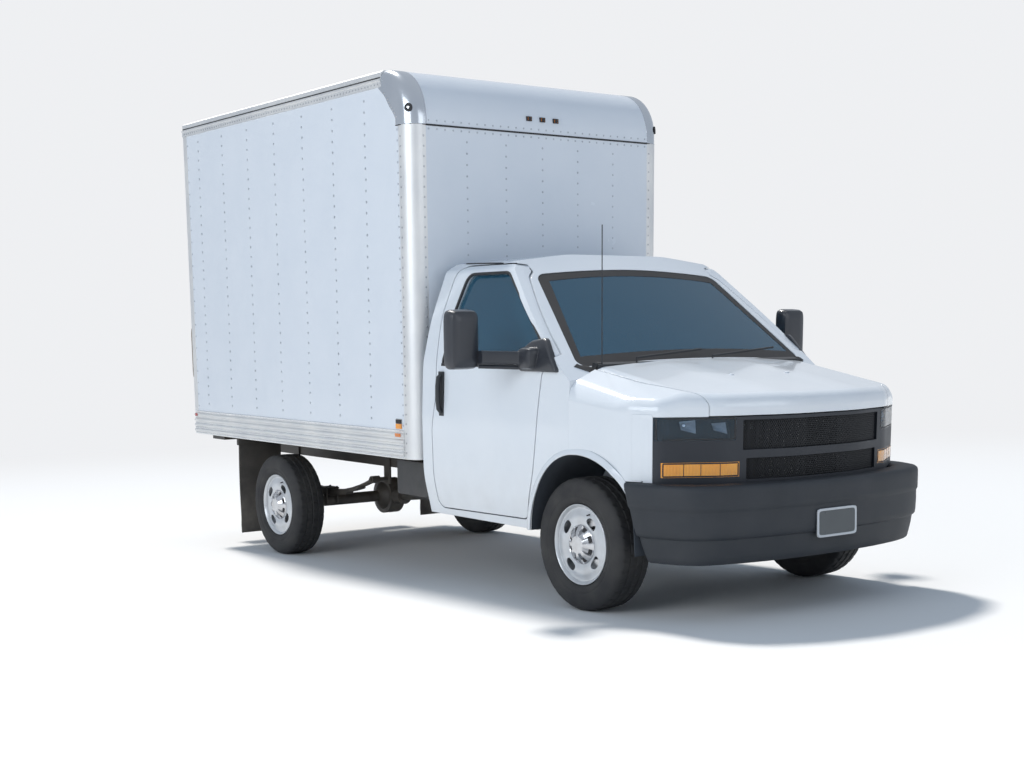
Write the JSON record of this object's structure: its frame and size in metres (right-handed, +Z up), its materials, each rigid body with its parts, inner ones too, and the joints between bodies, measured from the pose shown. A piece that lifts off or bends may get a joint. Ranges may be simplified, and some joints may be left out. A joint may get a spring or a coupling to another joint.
{
  "type": "box truck",
  "caption": "Small box truck: a van cab with long nose and single rear wheels carrying a riveted box with a roll-up rear door.",
  "frame": {"origin": "centre of the bounding box in plan, on the ground under the tyres", "axes": "+X forward along the truck, +Y to its left, +Z up"},
  "size_m": [5.9906, 2.804, 3.2384],
  "materials": {
    "tyre": "worn rubber",
    "steel_rim": "silver enamel",
    "hub_chrome": "polished",
    "chassis_black": "satin, road film",
    "cast_iron": "as cast",
    "white_paint": "gloss",
    "box_white": "gloss over riveted sheet",
    "glass_tint": "tinted",
    "lamp_clear": "clear lens",
    "amber": "lens",
    "black_plastic": "grained",
    "grille_black": "moulded",
    "mill_aluminium": "mill finish",
    "plate_white": "blank",
    "seat_cloth": "woven",
    "dash_grey": "grained",
    "wood_floor": "worn planks",
    "rubber_black": "moulded",
    "steel_bare": "weathered"
  },
  "bodies": {
    "chassis": {"battery_box": "black_plastic", "box_front_wall": "box_white", "box_roof": "box_white", "box_side_left": "box_white", "box_side_right": "box_white", "cab_shell": "white_paint", "corner_posts": "mill_aluminium", "cowl_panel": "black_plastic", "dashboard": "dash_grey", "engine_and_gearbox": "cast_iron", "exhaust": "steel_bare", "frame_rails": "chassis_black", "front_bumper": "black_plastic", "front_cap": "box_white", "front_fenders": "white_paint", "front_lamps": "lamp_clear", "front_plate": "plate_white", "front_suspension": "chassis_black", "fuel_tank": "black_plastic", "grille": "grille_black", "load_floor": "wood_floor", "marker_lamps": "amber", "mud_flaps": "rubber_black", "radiator": "mill_aluminium", "rear_axle": "chassis_black", "rear_bumper": "chassis_black", "rear_door": "box_white", "rear_frame": "mill_aluminium", "rear_springs": "chassis_black", "roof_castings": "mill_aluminium", "rub_rails": "mill_aluminium", "seat_backs": "seat_cloth", "seat_bases": "black_plastic", "seat_cushions": "seat_cloth", "top_rails": "mill_aluminium", "windshield": "glass_tint"},
    "hood": {"hood": "white_paint"},
    "steering_wheel": {"steering_wheel": "dash_grey"},
    "door_left": {"cab_door_left": "white_paint", "door_glass_left": "glass_tint", "mirror_left": "black_plastic"},
    "knuckle_left": {"knuckle_left": "cast_iron"},
    "wheel_front_left": {"tyre_front_left": "tyre", "rim_front_left": "steel_rim", "hub_front_left": "hub_chrome"},
    "wheel_rear_left": {"tyre_rear_left": "tyre", "rim_rear_left": "steel_rim", "hub_rear_left": "hub_chrome"},
    "door_right": {"cab_door_right": "white_paint", "door_glass_right": "glass_tint", "mirror_right": "black_plastic"},
    "knuckle_right": {"knuckle_right": "cast_iron"},
    "wheel_front_right": {"tyre_front_right": "tyre", "rim_front_right": "steel_rim", "hub_front_right": "hub_chrome"},
    "wheel_rear_right": {"tyre_rear_right": "tyre", "rim_rear_right": "steel_rim", "hub_rear_right": "hub_chrome"}
  },
  "joints": [
    {"name": "steer_left", "type": "hinge", "parent": "chassis", "child": "knuckle_left", "pos_m": [2.01452, 0.79, 0.366], "axis": [0, 0, 1], "range_deg": [-34, 34]},
    {"name": "steer_right", "type": "hinge", "parent": "chassis", "child": "knuckle_right", "pos_m": [2.01452, -0.79, 0.366], "axis": [0, 0, 1], "range_deg": [-34, 34]},
    {"name": "steering_wheel_turn", "type": "hinge", "parent": "chassis", "child": "steering_wheel", "pos_m": [1.45071, 0.44, 1.18294], "axis": [-0.8502, 0, 0.5265], "range_deg": [-544, 544]},
    {"name": "wheel_front_left_spin", "type": "hinge", "parent": "knuckle_left", "child": "wheel_front_left", "pos_m": [2.01452, 0.868, 0.366], "axis": [0, 1, 0], "continuous": true},
    {"name": "wheel_front_right_spin", "type": "hinge", "parent": "knuckle_right", "child": "wheel_front_right", "pos_m": [2.01452, -0.868, 0.366], "axis": [0, 1, 0], "continuous": true},
    {"name": "wheel_rear_left_spin", "type": "hinge", "parent": "chassis", "child": "wheel_rear_left", "pos_m": [-1.51648, 0.868, 0.366], "axis": [0, 1, 0], "continuous": true},
    {"name": "wheel_rear_right_spin", "type": "hinge", "parent": "chassis", "child": "wheel_rear_right", "pos_m": [-1.51648, -0.868, 0.366], "axis": [0, 1, 0], "continuous": true},
    {"name": "hood_open", "type": "hinge", "parent": "chassis", "child": "hood", "pos_m": [1.97635, 0, 1.35782], "axis": [0, -1, 0], "range_deg": [0, 50]},
    {"name": "door_left_open", "type": "hinge", "parent": "chassis", "child": "door_left", "pos_m": [1.87542, 1.003, 1.00476], "axis": [-0.0308, 0, -0.9995], "range_deg": [0, 68]},
    {"name": "door_right_open", "type": "hinge", "parent": "chassis", "child": "door_right", "pos_m": [1.87542, -1.003, 1.00476], "axis": [0.0308, 0, 0.9995], "range_deg": [0, 68]}
  ],
  "couplings": [
    {"joint": "steer_right", "follows": "steer_left", "ratio": 1},
    {"joint": "steering_wheel_turn", "follows": "steer_left", "ratio": 16}
  ]
}
